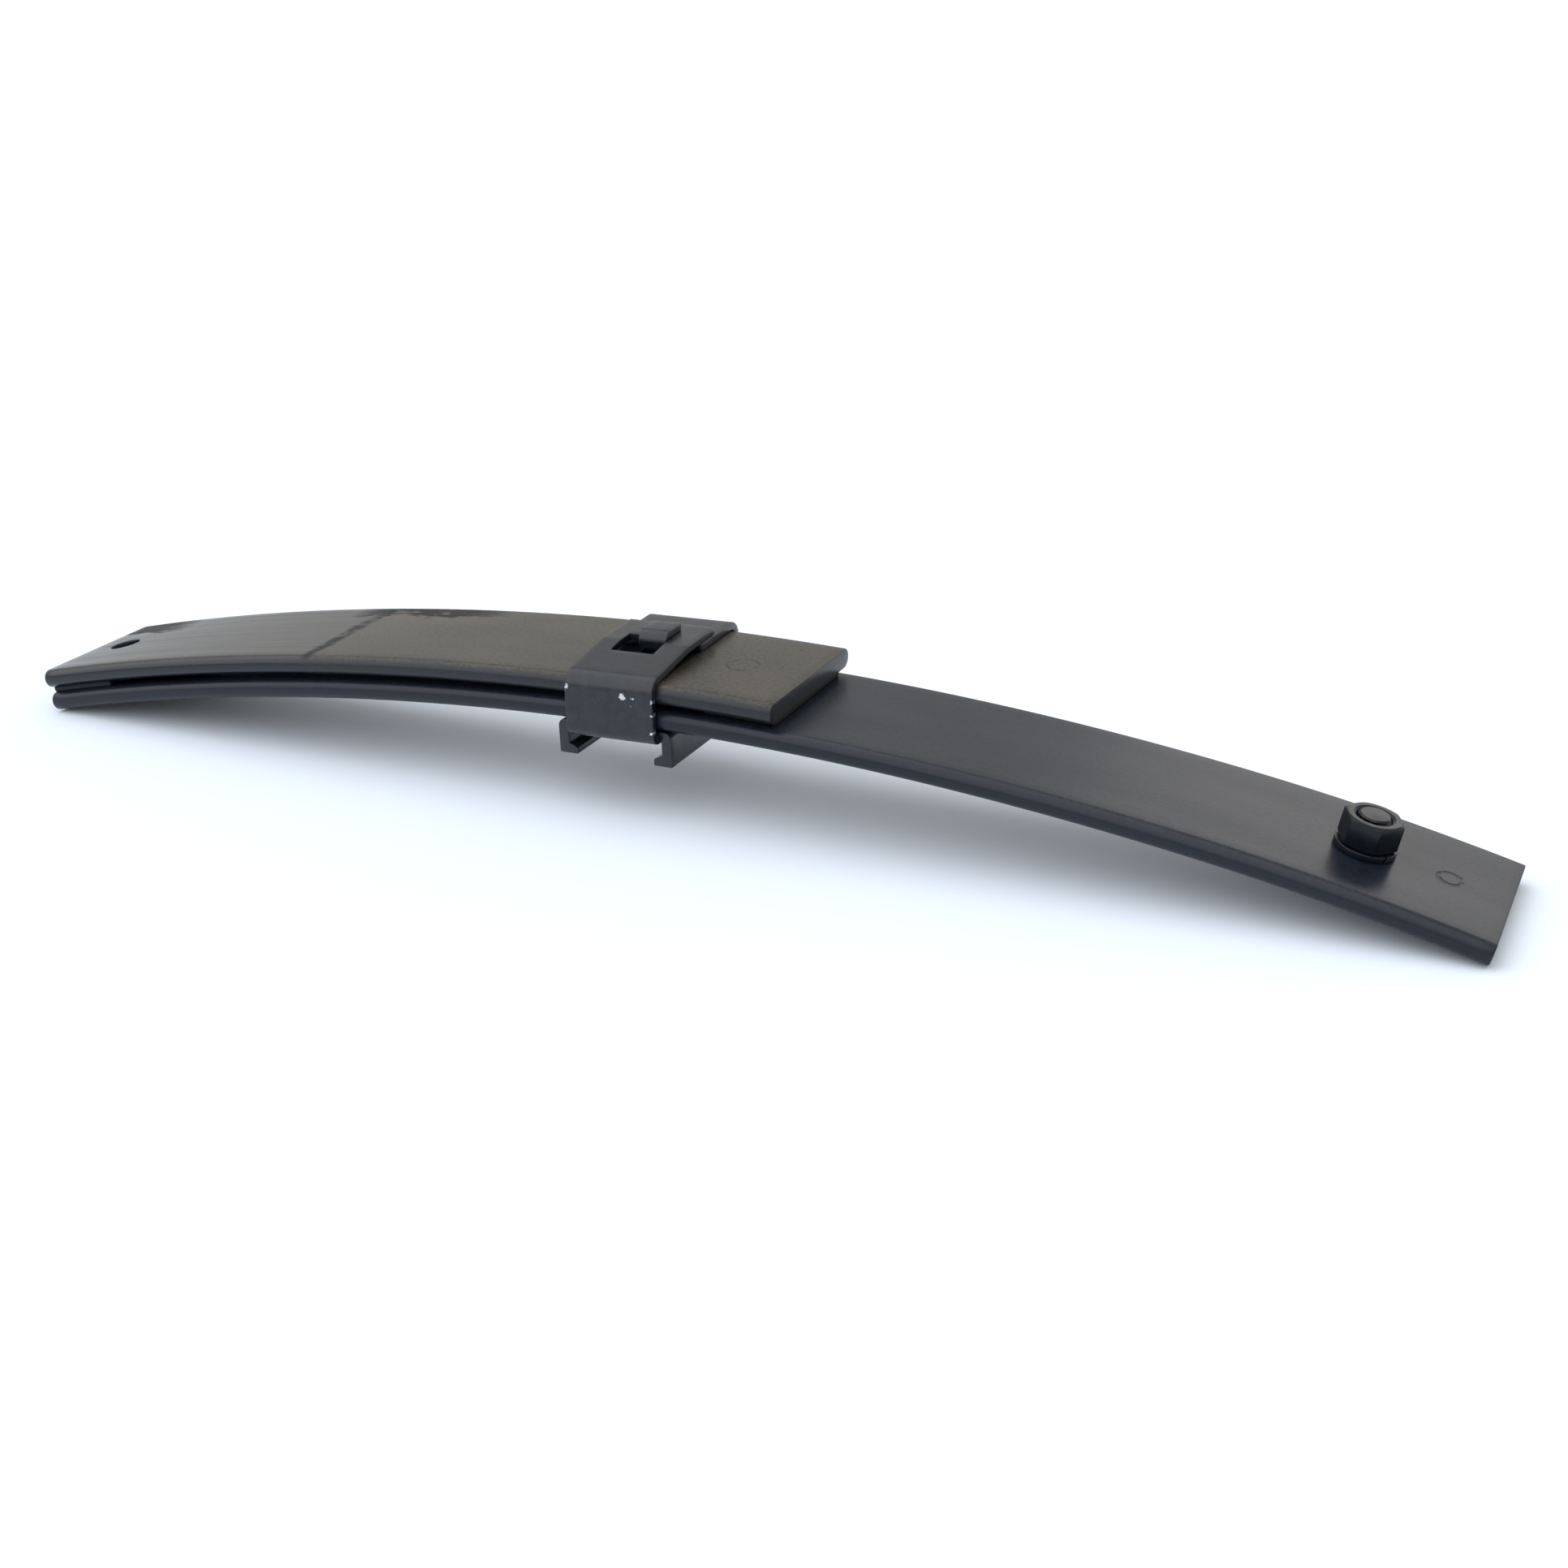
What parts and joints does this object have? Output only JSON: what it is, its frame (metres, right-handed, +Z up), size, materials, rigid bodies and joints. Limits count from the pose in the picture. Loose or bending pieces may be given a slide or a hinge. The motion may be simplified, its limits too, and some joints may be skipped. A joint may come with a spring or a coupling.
{
  "type": "leaf spring",
  "caption": "Arched leaf spring: a full-length leaf with a shorter leaf on its back, held by a folded strap clip, with a bolt hole at one end and a locating bolt near the other.",
  "frame": {"origin": "centre of the footprint, on the surface that the two tips stand on", "axes": "+X runs from the clamped end to the bolted end, +Z is up, towards the convex back of the arch, +Y is across the leaves"},
  "size_m": [0.6046, 0.0788, 0.0631],
  "materials": {
    "leaf_paint": "semi-gloss black chassis paint over rolled spring steel",
    "clip_paint": "semi-gloss black paint over flat steel bar, chipped at the bends",
    "bolt_paint": "semi-gloss black paint over forged steel hardware",
    "spacer_steel": "painted steel shim",
    "liner_plastic": "matt black plastic anti-friction pad"
  },
  "bodies": {
    "leaves": {"main_leaf": "leaf_paint", "upper_leaf": "leaf_paint", "root_spacer": "spacer_steel"},
    "clip": {"clip_strap": "clip_paint", "clip_saddle": "clip_paint", "tip_liner": "liner_plastic"},
    "tip_bolt": {"centre_bolt": "bolt_paint", "lock_washer": "bolt_paint", "nut": "bolt_paint"}
  },
  "joints": [
    {"name": "root_flex", "type": "hinge", "parent": "leaves", "child": "clip", "pos_m": [-0.15287, 0, 0.03016], "axis": [0, -1, 0], "range_deg": [-3, 7], "stiffness_Nm_per_rad": 3660, "deforming": ["main_leaf", "upper_leaf"]},
    {"name": "tip_flex", "type": "hinge", "parent": "clip", "child": "tip_bolt", "pos_m": [0.14257, 0, 0.03222], "axis": [0, -1, 0], "range_deg": [-1.1, 2.5], "deforming": ["main_leaf"]}
  ],
  "couplings": [
    {"joint": "tip_flex", "follows": "root_flex", "ratio": 0.35}
  ]
}
